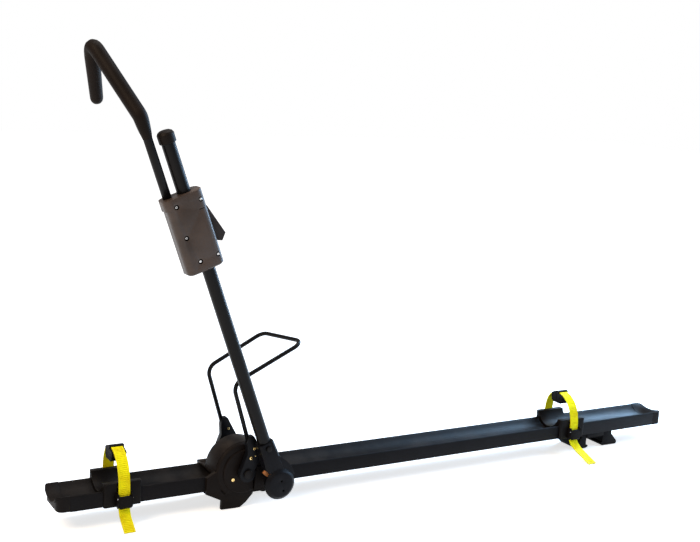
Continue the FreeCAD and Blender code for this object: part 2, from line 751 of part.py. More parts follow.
def pawl():
    """Tooth that drops into the slots punched in the mast."""
    outline = [(15.0, 537.0), (20.0, 538.0), (20.0, 508.0), (17.0, 503.0), (12.6, 506.0), (12.6, 510.5), (15.0, 513.0)]
    tooth = plate_xz(outline, -3.4, 3.4)
    knuckle = rod_y(pawl_pin_x, pawl_pin_z, 3.8, -6.0, 6.0)
    body = joined([tooth, knuckle])
    return on_mast(body.cut(rod_y(pawl_pin_x, pawl_pin_z, lever_pin_r + run_clear, -11, 11)))


def pawl_pin():
    return on_mast(rod_y(pawl_pin_x, pawl_pin_z, lever_pin_r, -15.0, 13.5))


def hook_path(start):
    """Centreline of the hook rod in its own slanted plane, from a height on the mast."""
    turn = math.radians(hook_turn)
    corners = [(0.0, start), (0.0, 723.0), (84.4, 876.0), (131.0, 768.0)]
    points = [V(rod_offset - w * math.sin(turn), w * math.cos(turn), s) for w, s in corners]
    return rounded_path(points, [44.0, 12.5])


def hook_tip():
    """Centre of the rod's far end and the direction back into the rod."""
    edge = hook_path(sleeve_start).OrderedEdges[-1]
    a, b = edge.valueAt(edge.FirstParameter), edge.valueAt(edge.LastParameter)
    low, high = (a, b) if a.z < b.z else (b, a)
    return low, (high - low).normalize()


def hook_rod():
    """Steel rod clamped in the slider, with its bent stub buried in the moulded hook."""
    path = hook_path(slider_low + rod_seat)
    bar = swept_round(path.OrderedEdges[:rod_runs], rod_d / 2)
    return on_mast(bar)


def hook_sleeve():
    """Rubber coating over the bent end of the rod, closed at the tip."""
    outer = swept_round(hook_path(sleeve_start).OrderedEdges, sleeve_d / 2)
    tip, inward = hook_tip()
    nose = Part.makeSphere(sleeve_d / 2, tip)
    outer = outer.fuse(nose)
    core = hook_path(sleeve_start - 40.0).OrderedEdges[:rod_runs]
    return on_mast(outer.cut(swept_round(core, rod_d / 2)))


# Cradles and straps

def cradle(x0):
    """Saddle that straddles the tray and cups the tyre."""
    x1 = x0 + cradle_length
    gap = 0.3
    outer = box(x0, x1, -cradle_half_y, cradle_half_y, rim_z - cradle_skirt, rim_z + cradle_wall_top)
    scoop_r = 33.5
    scoop = rod_x(0, rim_z + 23, scoop_r, x0 - 1, x1 + 1)
    mouth = box(x0 - 1, x1 + 1, -scoop_r + 1, scoop_r - 1, rim_z + 23, rim_z + 60)
    body = outer.cut(scoop.fuse(mouth))
    rims = edges_along(body, V(0, 0, 1), lambda m: abs(m.y) > cradle_half_y - 1)
    body = body.makeFillet(4.5, rims)
    inside = half_w + gap
    top_half = half_w - rim_land
    corners = [V(0, top_half, rim_z + gap), V(0, inside, rim_z + gap), V(0, inside, 0), V(0, -inside, 0),
               V(0, -inside, rim_z + gap), V(0, -top_half, rim_z + gap)]
    track = Part.Wire([track_arc(-gap, top_half).toShape()]
                      + [Part.LineSegment(a, b).toShape() for a, b in zip(corners, corners[1:])])
    track = Part.Face(track).extrude(V(cradle_length + 2, 0, 0))
    track.translate(V(x0 - 1, 0, 0))
    body = body.cut(track)
    slot_x = x0 + strap_from_edge
    recess = box(slot_x - strap_width / 2 - 0.6, slot_x + strap_width / 2 + 0.6, -cradle_half_y - 1,
                 -cradle_half_y + 1.2, rim_z - 60, rim_z + 60)
    far_recess = box(slot_x - strap_width / 2 - 0.6, slot_x + strap_width / 2 + 0.6, strap_far_y - strap_t - 0.3,
                     cradle_half_y + 1, rim_z - 60, rim_z + 60)
    dip = box(x0 + 13, slot_x - strap_width / 2 - 4, -cradle_half_y - 1, -scoop_r + 6, rim_z + 4, rim_z + 60)
    body = body.cut(recess).cut(far_recess).cut(dip)
    return body.cut(strap_screw(slot_x))


def strap_wire(x, tail_reach):
    near, far = -strap_near_y, strap_far_y
    z = rim_z
    points = [V(x, near - tail_reach, floor_z + 1.0 + strap_t), V(x, near - tail_reach * 0.35, z - 54),
              V(x, near, z - 30), V(x, near, z + strap_top), V(x, far, z + strap_top), V(x, far, z - 12)]
    return rounded_path(points, [22.0, 24.0, strap_arch_r, strap_arch_r])


def strap(x, tail_reach):
    band = strap_wire(x - strap_width / 2, tail_reach)
    face = band.makeOffset2D(strap_t, 0, True, True, False)
    return face.extrude(V(strap_width, 0, 0)).cut(strap_screw(x))


def strap_screw(x):
    """Screw that holds the fixed end of the strap to the far wall of its cradle."""
    z = rim_z - 6.0
    shank = rod_y(x, z, 1.8, half_w + 1.2, strap_far_y)
    return joined([shank, rod_y(x, z, 3.6, strap_far_y, strap_far_y + 1.6)])


def rim_pad(x, tail_reach):
    """Soft block on the strap that bears on the wheel rim."""
    width = 28.0
    y0, y1 = -9.0, strap_far_y + 12
    arch = rounded_path([V(x - width / 2, -strap_near_y, rim_z + 40), V(x - width / 2, -strap_near_y, rim_z + strap_top),
                         V(x - width / 2, strap_far_y, rim_z + strap_top), V(x - width / 2, strap_far_y, rim_z + 10)],
                        [strap_arch_r, strap_arch_r])
    inner = arch.makeOffset2D(-8.0, 0, True, True, False)
    outer = arch.makeOffset2D(strap_t + 2.4, 0, True, True, False)
    block = inner.extrude(V(width, 0, 0)).fuse(outer.extrude(V(width, 0, 0)))
    block = block.common(box(x - 20, x + 20, y0, y1, rim_z + 34, rim_z + 120))
    return block.cut(strap(x, tail_reach)).removeSplitter()


def buckle_body(x):
    half = buckle_width / 2
    z0, z1 = rim_z - 31.0, rim_z - 4.0
    y_wall = -cradle_half_y
    cheeks = []
    for side in (-1, 1):
        cheek = plate_yz([(y_wall, z0 + 3), (y_wall, z1), (-54.0, z1), (-56.5, z1 - 5), (-56.5, z0 + 6), (-52.0, z0)],
                         min(x + side * half, x + side * (half - buckle_wall)),
                         max(x + side * half, x + side * (half - buckle_wall)))
        cheeks.append(cheek)
    floor = box(x - half, x + half, y_wall - 2.2, y_wall, z0 + 6, z1 - 6)
    body = joined(cheeks + [floor])
    return body.cut(rod_x(-buckle_pin_y, rim_z + buckle_pin_z, buckle_pin_r, x - 40, x + 40))


def buckle_lever(x):
    half = buckle_width / 2 - buckle_wall - slide_clear
    y, z = -buckle_pin_y, rim_z + buckle_pin_z
    cam = rod_x(y, z, 3.6, x - half, x + half)
    handle = plate_yz([(y - 3.6, z), (y - 4.4, z - 16), (y - 2.0, z - 19), (y + 1.0, z - 17), (y + 2.2, z - 2)],
                      x - half, x + half)
    lever = joined([cam, handle])
    return lever.cut(rod_x(y, z, buckle_pin_r + run_clear, x - 40, x + 40))


def buckle_pin(x):
    half = buckle_width / 2
    return rod_x(-buckle_pin_y, rim_z + buckle_pin_z, buckle_pin_r, x - half - 0.8, x + half + 0.8)


# Build

node("tray", tray())
node("front_end_cap", end_cap(tray_front_x, tray_front_x + cap_lip, 13.0, 5.0))
node("rear_end_cap", end_cap(tray_back_x, tray_back_x - cap_lip, 4.0, 2.0))
node("base_body", base_body())
node("mast_lock_tab", mast_lock_tab())
node("base_cover_near", side_cover(-1))
node("base_cover_far", side_cover(1))
node("cover_screws", cover_screws())
node("base_anchor_plate", base_anchor_plate())
node("base_bolts", base_bolts())
node("front_saddle_pad", saddle_pad(0.0, 20.0))
node("front_moving_jaw", front_moving_jaw())
node("front_clamp_bolt", front_clamp_bolt())
node("front_clamp_nut", clamp_nut(bar_gap / 2 + 12.6, front_bolt_y))
node("rear_saddle_pad", saddle_pad(rear_clamp_x, 24.0))
node("rear_clamp_block", rear_clamp_block())
node("rear_moving_jaw", rear_moving_jaw())
node("rear_clamp_bolt", rear_clamp_bolt())
node("rear_clamp_nut", clamp_nut(rear_clamp_x + 52.6, 0.0))
node("hoop_wire", hoop_wire())
node("hoop_gusset_near", hoop_gusset(-1))
node("hoop_gusset_far", hoop_gusset(1))
node("hoop_pin", hoop_pin())
node("gusset_screws", gusset_screws())
node("mast_hub", mast_hub())
node("drum_cover", drum_cover())
node("mast_pivot_bolt", pivot_bolt())
node("mast_friction_washer", friction_washer())
node("mast_tube", mast_tube())
node("mast_cap", mast_cap())
node("socket_bolt", socket_bolt())
node("slider_shell_near", slider_shell(-1))
node("slider_shell_far", slider_shell(1))
node("slider_screws", slider_screws())
node("slider_bushes", slider_bushes())
node("release_lever", release_lever())
node("release_lever_pin", lever_pin())
node("release_lever_spring", lever_spring())
node("ratchet_pawl", pawl())
node("ratchet_pawl_pin", pawl_pin())
node("hook_rod", hook_rod())
node("hook_sleeve", hook_sleeve())
for place, x0, tail in (("front", cradle_front_x, front_tail), ("rear", cradle_rear_x, rear_tail)):
    strap_x = x0 + strap_from_edge
    node(place + "_cradle", cradle(x0))
    node(place + "_strap", strap(strap_x, tail))
    node(place + "_strap_screw", strap_screw(strap_x))
    node(place + "_rim_pad", rim_pad(strap_x, tail))
    node(place + "_buckle_body", buckle_body(strap_x))
    node(place + "_buckle_lever", buckle_lever(strap_x))
    node(place + "_buckle_pin", buckle_pin(strap_x))
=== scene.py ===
import json
import math

import bmesh
import bpy
from mathutils import Matrix, Vector

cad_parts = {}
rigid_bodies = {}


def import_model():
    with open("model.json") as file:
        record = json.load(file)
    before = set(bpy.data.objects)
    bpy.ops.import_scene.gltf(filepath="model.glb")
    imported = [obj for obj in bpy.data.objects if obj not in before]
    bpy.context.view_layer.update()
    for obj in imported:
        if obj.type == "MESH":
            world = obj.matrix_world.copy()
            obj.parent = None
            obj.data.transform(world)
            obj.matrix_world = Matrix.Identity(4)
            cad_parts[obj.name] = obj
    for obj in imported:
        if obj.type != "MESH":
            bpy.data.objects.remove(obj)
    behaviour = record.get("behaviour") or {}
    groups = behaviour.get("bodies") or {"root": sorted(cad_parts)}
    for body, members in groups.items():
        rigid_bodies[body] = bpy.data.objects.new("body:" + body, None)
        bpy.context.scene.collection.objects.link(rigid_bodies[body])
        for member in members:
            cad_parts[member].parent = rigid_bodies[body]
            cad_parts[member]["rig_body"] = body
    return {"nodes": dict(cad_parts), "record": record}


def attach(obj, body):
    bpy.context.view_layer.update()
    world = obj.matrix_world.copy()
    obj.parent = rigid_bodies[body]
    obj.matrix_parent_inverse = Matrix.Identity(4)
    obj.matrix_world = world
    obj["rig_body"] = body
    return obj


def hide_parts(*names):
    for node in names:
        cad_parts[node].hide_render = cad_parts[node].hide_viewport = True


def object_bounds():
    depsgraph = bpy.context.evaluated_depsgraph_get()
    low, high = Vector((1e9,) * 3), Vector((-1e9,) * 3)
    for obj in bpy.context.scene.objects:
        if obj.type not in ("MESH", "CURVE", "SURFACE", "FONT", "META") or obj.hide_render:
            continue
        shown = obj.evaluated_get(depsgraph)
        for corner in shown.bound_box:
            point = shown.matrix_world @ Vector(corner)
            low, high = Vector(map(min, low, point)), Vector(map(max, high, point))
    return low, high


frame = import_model()
cad_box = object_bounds()
scene = bpy.context.scene
scene.view_settings.view_transform = "Standard"


# Camera. It stands at chest height in front of the rack, left of its middle, looks to the right along the
# tray, and is rolled a little because the photographed rack leans toward it.
camera_place = Vector((-0.94738, -1.90691, 0.82147))
heading = 0.539239825
tilt_down = 0.181893206
roll = 0.0583989863
lens_mm = 59.087
ahead = Vector((math.sin(heading) * math.cos(tilt_down), math.cos(heading) * math.cos(tilt_down),
                -math.sin(tilt_down)))
level_right = Vector((math.cos(heading), -math.sin(heading), 0.0))
level_up = level_right.cross(ahead)
right = level_right * math.cos(roll) + level_up * math.sin(roll)
up = level_up * math.cos(roll) - level_right * math.sin(roll)
camera = bpy.data.objects.new("camera", bpy.data.cameras.new("camera"))
camera.data.lens = lens_mm
camera.data.sensor_width = 36.0
camera.data.clip_start = 0.05
camera.matrix_world = Matrix.Translation(camera_place) @ Matrix((right, up, -ahead)).transposed().to_4x4()
scene.collection.objects.link(camera)
scene.camera = camera


# Shader values. A Signal is one socket, and sums and products of signals add the Math nodes that do them.
# Each finish below is a short sum of soft clouds, a fine grain and, on some pieces, painted warm light on the
# faces that look up.
class Signal:
    """One shader socket, with the tree that it is in."""

    def __init__(self, tree, socket=None):
        self.tree = tree
        self.socket = socket

    def node(self, kind, settings=None, sockets=None, out=0):
        """A new node with its settings and the values or links of its sockets. Gives one of its outputs."""
        made = self.tree.nodes.new(kind)
        for key, value in (settings or {}).items():
            setattr(made, key, value)
        for key, value in (sockets or {}).items():
            if isinstance(value, Signal):
                self.tree.links.new(value.socket, made.inputs[key])
            else:
                made.inputs[key].default_value = value
        return Signal(self.tree, made.outputs[out] if made.outputs else None)

    def maths(self, operation, first, second=0.0):
        return self.node("ShaderNodeMath", {"operation": operation}, {0: first, 1: second})

    def __add__(self, other):
        return self.maths("ADD", self, other)

    __radd__ = __add__

    def __sub__(self, other):
        return self.maths("SUBTRACT", self, other)

    def __rsub__(self, other):
        return self.maths("SUBTRACT", other, self)

    def __mul__(self, other):
        return self.maths("MULTIPLY", self, other)

    __rmul__ = __mul__

    def step(self, low, high):
        """0 below low, 1 above high and smooth between them."""
        return self.node("ShaderNodeMapRange", {"interpolation_type": "SMOOTHSTEP"},
                         {"Value": self, "From Min": low, "From Max": high})

    def blend(self, first, second):
        """The first colour where this signal is 0 and the second where it is 1."""
        return self.node("ShaderNodeMix", {"data_type": "RGBA"}, {0: self, 6: first, 7: second}, out=2)

    def into(self, socket):
        self.tree.links.new(self.socket, socket)


# Floor and light. A white sweep under the rack, a warm softbox on the left and a cool window on the right,
# at a level where a colour looks about as it is written.
floor_gap = 0.0004
floor_z = cad_box[0].z - floor_gap
sweep_half = 9.0
sweep_middle = (0.3, 0.0, floor_z)
glow_near, glow_gain = 0.69, 0.28
floor_mesh = bpy.data.meshes.new("floor")
bm = bmesh.new()
bmesh.ops.create_grid(bm, x_segments=1, y_segments=1, size=sweep_half)
bmesh.ops.translate(bm, verts=bm.verts, vec=sweep_middle)
bm.to_mesh(floor_mesh)
bm.free()
floor = bpy.data.objects.new("floor", floor_mesh)
scene.collection.objects.link(floor)
paper = bpy.data.materials.new("white_paper")
paper.use_nodes = True
paper.node_tree.nodes.clear()
tools = Signal(paper.node_tree)
rays = "ShaderNodeLightPath"
white = (1.0, 1.0, 1.0, 1.0)
seen = tools.maths("MAXIMUM", tools.node(rays, out="Is Camera Ray"), tools.node(rays, out="Is Glossy Ray"))
place = tools.node("ShaderNodeTexCoord", out="Object")
away = tools.node("ShaderNodeVectorMath", {"operation": "DISTANCE"}, {0: place, 1: sweep_middle},
                  out="Value")
strength = seen * (away.step(0.6, 2.2) * glow_gain + glow_near)
matt = tools.node("ShaderNodeBsdfDiffuse", sockets={"Color": (0.82, 0.82, 0.82, 1.0)})
glow = tools.node("ShaderNodeEmission", sockets={"Color": white, "Strength": strength})
both = tools.node("ShaderNodeAddShader", sockets={0: matt, 1: glow})
tools.node("ShaderNodeOutputMaterial", sockets={"Surface": both})
floor.data.materials.append(paper)

world = bpy.data.worlds.new("studio")
scene.world = world
world.use_nodes = True
world.node_tree.nodes.clear()
tools = Signal(world.node_tree)
mirror_share = 0.3
room_light = 0.24
seen = tools.maths("MAXIMUM", tools.node(rays, out="Is Camera Ray"),
                   tools.node(rays, out="Is Transmission Ray"))
seen = tools.maths("MAXIMUM", seen, tools.node(rays, out="Is Glossy Ray") * mirror_share)
strength = seen * (1 - room_light) + room_light
backdrop = tools.node("ShaderNodeBackground", sockets={"Color": white, "Strength": strength})
tools.node("ShaderNodeOutputWorld", sockets={"Surface": backdrop})


def softbox(name, place, aim, width, height, watts, colour):
    lamp = bpy.data.lights.new(name, "AREA")
    lamp.shape = "RECTANGLE"
    lamp.size = width
    lamp.size_y = height
    lamp.energy = watts
    lamp.color = colour
    holder = bpy.data.objects.new(name, lamp)
    holder.location = place
    holder.rotation_euler = (Vector(aim) - Vector(place)).to_track_quat("-Z", "Y").to_euler()
    scene.collection.objects.link(holder)


warm = (1.0, 0.78, 0.56)
cool = (0.42, 0.68, 1.0)
softbox("warm_softbox", (-1.8, -0.7, 1.9), (0.1, 0.0, 0.2), 1.0, 1.0, 36.0, warm)
softbox("cool_window", (2.4, -0.9, 1.6), (0.2, 0.0, 0.3), 1.4, 1.8, 42.0, cool)
softbox("top_panel", (0.3, 0.3, 2.6), (0.3, 0.0, 0.0), 2.2, 1.2, 32.0, (1.0, 0.98, 0.96))
softbox("edge_strip", (1.5, 0.35, 0.9), (-0.1, -0.08, 0.45), 0.16, 1.5, 36.0, cool)


# Tray. One roll-formed steel channel with a concave track on top, powder-coated satin black, with a little
# painted warm light on the faces that look up, the track among them. Its near face is left bare.
merge_gap = 2e-6
flat_angle = math.radians(0.4)


def modelled(name, bm, like, stands_for=(), round_by=0.0, least_angle=30.0):
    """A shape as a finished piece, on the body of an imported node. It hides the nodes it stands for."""
    if round_by:
        sharp = [edge for edge in bm.edges if len(edge.link_faces) == 2
                 and edge.calc_face_angle(0.0) > math.radians(least_angle)]
        bmesh.ops.bevel(bm, geom=sharp, offset=round_by, offset_type="OFFSET", segments=2, profile=0.5,
                        affect="EDGES", clamp_overlap=True, material=-1)
    bmesh.ops.triangulate(bm, faces=[face for face in bm.faces if len(face.verts) > 4])
    mesh = bpy.data.meshes.new(name)
    bm.to_mesh(mesh)
    bm.free()
    mesh.shade_smooth()
    mesh.set_sharp_from_angle(angle=math.radians(least_angle))
    piece = bpy.data.objects.new(name, mesh)
    scene.collection.objects.link(piece)
    if stands_for:
        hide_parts(*stands_for)
    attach(piece, frame["nodes"][like]["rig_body"])
    slot = next(part["material_slot"] for part in frame["record"]["subparts"] if part["node"] == like)
    return piece


def packed_shape(node):
    """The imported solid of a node, its doubled points merged and its flat faces made one."""
    bm = bmesh.new()
    bm.from_mesh(frame["nodes"][node].data)
    bmesh.ops.remove_doubles(bm, verts=bm.verts, dist=merge_gap)
    bmesh.ops.dissolve_limit(bm, angle_limit=flat_angle, verts=bm.verts, edges=bm.edges)
    return bm


def dressed(node, round_by=0.0, least_angle=30.0):
    """A node's own shape, its sharp edges rounded over and its curves smooth."""
    return modelled(node + "_dressed", packed_shape(node), node, (node,), round_by, least_angle)


plastic_shine = 0.27
cloud_scale = 22.0
speck_scale = 620.0
top_light_brown = (0.30, 0.25, 0.20, 1.0)


def coating(name, colour, rough, grain_mm, depth_mm, top_light=0.0, metallic=0.0, coat=0.0, shine=0.3):
    """A moulded, painted or metal finish: soft clouds in its colour, a surface grain, and any painted warm
    top light.
    """
    material = bpy.data.materials.new(name)
    material.use_nodes = True
    shader = material.node_tree.nodes["Principled BSDF"]
    tools = Signal(material.node_tree)
    place = tools.node("ShaderNodeTexCoord", out="Object")
    clouds = tools.node("ShaderNodeTexNoise", sockets={"Vector": place, "Scale": cloud_scale, "Detail": 4.0})
    grain = tools.node("ShaderNodeTexNoise",
                       sockets={"Vector": place, "Scale": 1000.0 / grain_mm, "Detail": 2.0})
    light = tuple(min(1.0, c * 1.25 + 0.0004) for c in colour) + (1.0,)
    dark = tuple(c * 0.78 for c in colour) + (1.0,)
    mixed = clouds.step(0.3, 0.7).blend(dark, light)
    # Painted warm light: faces that look up blend toward a warm brown, in patchy clouds and specks.
    if top_light:
        normal = tools.node("ShaderNodeNewGeometry", out="Normal")
        facing = tools.node("ShaderNodeSeparateXYZ", sockets={"Vector": normal}, out="Z").step(0.45, 1.0)
        specks = tools.node("ShaderNodeTexNoise",
                            sockets={"Vector": place, "Scale": speck_scale, "Detail": 1.0})
        top_lit = facing * (clouds.step(0.35, 0.75) + specks.step(0.66, 0.74) * 0.8) * top_light
        mixed = top_lit.blend(mixed, top_light_brown)
    mixed.into(shader.inputs["Base Color"])
    (clouds * 0.10 + grain * 0.08 + (rough - 0.09)).into(shader.inputs["Roughness"])
    relief = tools.node("ShaderNodeBump",
                        sockets={"Height": grain, "Strength": 0.6, "Distance": depth_mm / 1000.0})
    relief.into(shader.inputs["Normal"])
    shader.inputs["Metallic"].default_value = metallic
    shader.inputs["Coat Weight"].default_value = coat
    shader.inputs["Specular IOR Level"].default_value = 0.5 if metallic else shine * plastic_shine
    return material


def finish(material, *pieces):
    for piece in pieces:
        piece.data.materials.append(material)


tray_black = coating("tray_powder_coat", (0.0042, 0.0037, 0.0044), 0.52, 1.6, 0.05, top_light=0.035, shine=0.30)
finish(tray_black, dressed("tray", 0.0004))


# End caps. Moulded black covers pushed into both ends of the tray. The front one ends in a thin lip with
# round corners over a blunt body, and the floor of the rear one rises to a shallow dip in its rim.
rim_z = 0.043
tray_low = 0.0133
tray_half = 0.03825
track_half = 0.03605
track_deep = 0.017
front_tip, front_joint = cad_box[0].x, -0.371
rear_joint, rear_tip = 1.027, 1.053
nose_back = 0.0030
lip_low = 0.0200
lip_thick = 0.0026
lip_corner = 0.009
nose_corner = 0.013
foot_bevel = 0.003
rear_corner = 0.009
rear_dip = 0.0045
rim_thick = 0.0022
under_lift = 0.3
dip_steps = 16


def closed(bm):
    """Every open loop filled and every face turned outwards."""
    bmesh.ops.holes_fill(bm, edges=[edge for edge in bm.edges if edge.is_boundary], sides=0)
    bmesh.ops.recalc_face_normals(bm, faces=bm.faces)
    return bm


def block(low, high):
    """A box between two corners."""
    bm = bmesh.new()
    low, high = Vector(low), Vector(high)
    middle = Matrix.Translation((low + high) / 2)
    bmesh.ops.create_cube(bm, size=1.0, matrix=middle @ Matrix.Diagonal(high - low).to_4x4())
    return bm


def rod(start, end, radius, around=48):
    """A round bar between two points."""
    bm = bmesh.new()
    start, end = Vector(start), Vector(end)
    turn = (end - start).to_track_quat("Z", "Y").to_matrix().to_4x4()
    bmesh.ops.create_cone(bm, cap_ends=True, segments=around, radius1=radius, radius2=radius,
                          depth=(end - start).length, matrix=Matrix.Translation((start + end) / 2) @ turn)
    return bm


def kept_side(bm, point, away_from):
    """The shape without what lies past a plane, closed again."""
    bmesh.ops.bisect_plane(bm, geom=bm.verts[:] + bm.edges[:] + bm.faces[:], dist=1e-7, plane_co=point,
                           plane_no=away_from, clear_outer=True)
    return closed(bm)


def worked(bm, tool, operation="DIFFERENCE"):
    """The first shape with the second cut out of it, or joined to it, by a Boolean modifier."""
    bench = []
    for shape in (bm, tool):
        bmesh.ops.recalc_face_normals(shape, faces=shape.faces)
        mesh = bpy.data.meshes.new("bench")
        shape.to_mesh(mesh)
        shape.free()
        holder = bpy.data.objects.new("bench", mesh)
        scene.collection.objects.link(holder)
        bench.append(holder)
    cut = bench[0].modifiers.new("cut", "BOOLEAN")
    cut.operation = operation
    cut.solver = "EXACT"
    cut.object = bench[1]
    result = bmesh.new()
    result.from_object(bench[0], bpy.context.evaluated_depsgraph_get())
    for holder in bench:
        bpy.data.objects.remove(holder)
    bmesh.ops.remove_doubles(result, verts=result.verts, dist=merge_gap)
    bmesh.ops.dissolve_limit(result, angle_limit=flat_angle, verts=result.verts, edges=result.edges)
    return result


def rings_skinned(rings):
    """A closed solid through a row of point loops."""
    bm = bmesh.new()
    loops = []
    for points in rings:
        verts = [bm.verts.new(point) for point in points]
        loops.append([bm.edges.new(pair) for pair in zip(verts, verts[1:] + verts[:1])])
    for first, second in zip(loops, loops[1:]):
        bmesh.ops.bridge_loops(bm, edges=first + second)
    return closed(bm)


def nose_shape(tip, corner, low):
    """The end of the front cap from a height up to the rim, with round corners in plan."""
    bm = block((tip, -tray_half, low), (front_joint, tray_half, rim_z))
    upright = [edge for edge in bm.edges if all(vert.co.x < front_joint - 0.001 for vert in edge.verts)
               and abs(edge.verts[0].co.z - edge.verts[1].co.z) > 0.001]
    bmesh.ops.bevel(bm, geom=upright, offset=corner, segments=10, profile=0.5, affect="EDGES", material=-1)
    return bm


nose = nose_shape(front_tip + nose_back, nose_corner, tray_low)
foot = [edge for edge in nose.edges if all(vert.co.z < tray_low + 1e-5 for vert in edge.verts)
        and any(vert.co.x < front_joint - 0.001 for vert in edge.verts)]
bmesh.ops.bevel(nose, geom=foot, offset=foot_bevel, segments=3, profile=0.5, affect="EDGES", material=-1)
track_r = (track_half ** 2 + track_deep ** 2) / (2 * track_deep)
track_mid = rim_z - track_deep + track_r
track_start, track_stop = (front_tip - 0.01, 0, track_mid), (front_joint + 0.01, 0, track_mid)
track = rod(track_start, track_stop, track_r, around=160)
under_lip = rod(track_start, track_stop, track_r + lip_thick, around=160)
lip = worked(nose_shape(front_tip, lip_corner, lip_low), under_lip, "INTERSECT")
front_cap = modelled("front_cap_moulding", worked(worked(lip, nose, "UNION"), track), "front_end_cap",
                     ("front_end_cap",), 0.0005)


def rear_cap_ring(from_tip):
    """Outline of the rear cap across the tray, at a distance from its tip."""
    inset = rear_corner - math.sqrt(max(0.0, rear_corner ** 2 - max(0.0, rear_corner - from_tip) ** 2))
    half = tray_half - inset
    rise = min(1.0, from_tip / (rear_tip - rear_joint))
    deep = rear_dip + (track_deep - rear_dip) * rise * rise * (3 - 2 * rise)
    x = rear_tip - from_tip
    under = tray_low + inset * under_lift
    points = [(x, half, under), (x, -half, under), (x, -half, rim_z)]
    for i in range(1, dip_steps):
        across = -1 + 2 * i / dip_steps
        points.append((x, across * (half - rim_thick), rim_z - deep * (1 - across * across)))
    return points + [(x, half, rim_z)]


rear_steps = [0.0, 0.0004, 0.0012, 0.0026, 0.0045, 0.0068, 0.009, 0.012, 0.015, 0.018, 0.021, 0.0235, 0.026]
rear_rings = [rear_cap_ring(step) for step in rear_steps]
rear_cap = modelled("rear_cap_moulding", rings_skinned(rear_rings), "rear_end_cap", ("rear_end_cap",))
# Both caps take a little painted warm light on the faces that look up.
cap_black = coating("end_cap_moulding", (0.0062, 0.0046, 0.0042), 0.52, 0.9, 0.04, top_light=0.03, shine=0.26)
finish(cap_black, front_cap, rear_cap)


# Base. The moulded saddle over the tray. Its deep dome ends near the middle of the tray, a small boss behind
# it carries the hinge pin, and two thin feet stand down in front of the crossbar.
pin_x, pin_z = -0.042, 0.048
dome_r = 0.0565
dome_back = 0.003
boss_r = 0.033
boss_end = 0.043
over_tray = 0.0436
pin_bore = 0.0052
past_r, past_y = 0.085, 0.06
under_skin = 0.0002
overlap = 0.001
foot_top = 0.0048
between_feet = (-0.13, -0.040, -0.03), (-0.0214, 0.034, foot_top)
beside_far_foot = (-0.13, 0.0335, -0.03), (-0.070, 0.045, foot_top)
wing = [(-0.1165, 0.0134), (-0.1165, 0.0425), (-0.0965, 0.0535), (-0.088, 0.0565), (-0.088, 0.0134)]
wing_y = (-0.0470, -0.0387)
centre_hole = 0.0005
raised_r, raised_round = 0.0425, 0.0016
disc_back, disc_edge, disc_face = -0.0479, -0.0498, -0.0510
under_mast_foot = (-0.0235, -0.06, 0.0), (0.05, -0.04, 0.0565)
far_r, far_edge, far_face = 0.0325, 0.0446, 0.048
far_chamfer = 0.0035


def turned(profile, x, z, steps=72):
    """A shape turned about the line along Y through a place, from (radius, y) pairs."""
    bm = bmesh.new()
    verts = [bm.verts.new((x + radius, y, z)) for radius, y in profile]
    edges = [bm.edges.new(pair) for pair in zip(verts, verts[1:] + verts[:1])]
    bmesh.ops.spin(bm, geom=verts + edges, cent=(x, 0, z), axis=(0, 1, 0), angle=2 * math.pi, steps=steps,
                   use_merge=True)
    bmesh.ops.remove_doubles(bm, verts=bm.verts, dist=1e-6)
    bmesh.ops.recalc_face_normals(bm, faces=bm.faces)
    return bm


def plate(outline, y0, y1):
    """A flat piece with an outline of (x, z) points, from y0 to y1."""
    bm = bmesh.new()
    face = bm.faces.new([bm.verts.new((x, y0, z)) for x, z in outline])
    grown = bmesh.ops.extrude_face_region(bm, geom=[face])
    moved = [part for part in grown["geom"] if isinstance(part, bmesh.types.BMVert)]
    bmesh.ops.translate(bm, verts=moved, vec=(0, y1 - y0, 0))
    return closed(bm)


def collar(inner, outer, y0, y1):
    """A flat ring round the line of the hinge pin."""
    return turned([(inner, y0), (outer, y0), (outer, y1), (inner, y1)], pin_x, pin_z)


behind = collar(boss_r, past_r, dome_back, past_y)
body = worked(packed_shape("base_body"), kept_side(behind, (0, 0, pin_z - 0.0005), (0, 0, -1)))
back_wall = collar(pin_bore, dome_r - under_skin, -overlap, dome_back)
body = worked(body, kept_side(back_wall, (0, 0, over_tray), (0, 0, -1)), "UNION")
boss = collar(pin_bore, boss_r - under_skin, dome_back - overlap, boss_end)
body = worked(body, kept_side(boss, (0, 0, over_tray), (0, 0, -1)), "UNION")
body = worked(body, block(*between_feet))
body = worked(body, block(*beside_far_foot))
body = worked(body, plate(wing, *wing_y), "UNION")
base = modelled("base_moulded_saddle", body, "base_body", ("base_body",), 0.0007)
near_cover = dressed("base_cover_near", 0.0005)
raised = turned([(centre_hole, disc_back), (raised_r, disc_back), (raised_r, disc_edge),
                 (raised_r - raised_round, disc_face), (centre_hole, disc_face)], pin_x, pin_z)
raised = worked(raised, block(*under_mast_foot))
near_disc = modelled("base_cover_disc", raised, "base_cover_near")
far_boss = turned([(pin_bore, boss_end), (far_r, boss_end), (far_r, far_edge),
                   (far_r - far_chamfer, far_face), (pin_bore, far_face)], pin_x, pin_z)
far_cover = modelled("base_cover_boss", far_boss, "base_cover_far", ("base_cover_far",))
# The base pieces take painted warm light on the faces that look up.
base_black = coating("base_moulding", (0.0078, 0.0052, 0.0042), 0.52, 0.8, 0.06, top_light=0.06, shine=0.28)
finish(base_black, base, near_cover, near_disc, far_cover)


# Screws of the base. Bright plated pan heads with a six-lobed recess, two on the near cover and three on the
# far one. The bolts and the anchor plate that hold the base to the tray have the same plating.
near_heads = [(-0.0658, 0.0352, 0.0022), (-0.029, 0.071, 0.0018)]
far_heads = [(-0.018, -0.011), (0.018, -0.011), (0.0, 0.0215)]
head_around = 24
lobe_count, lobe_reach = 6, 0.13


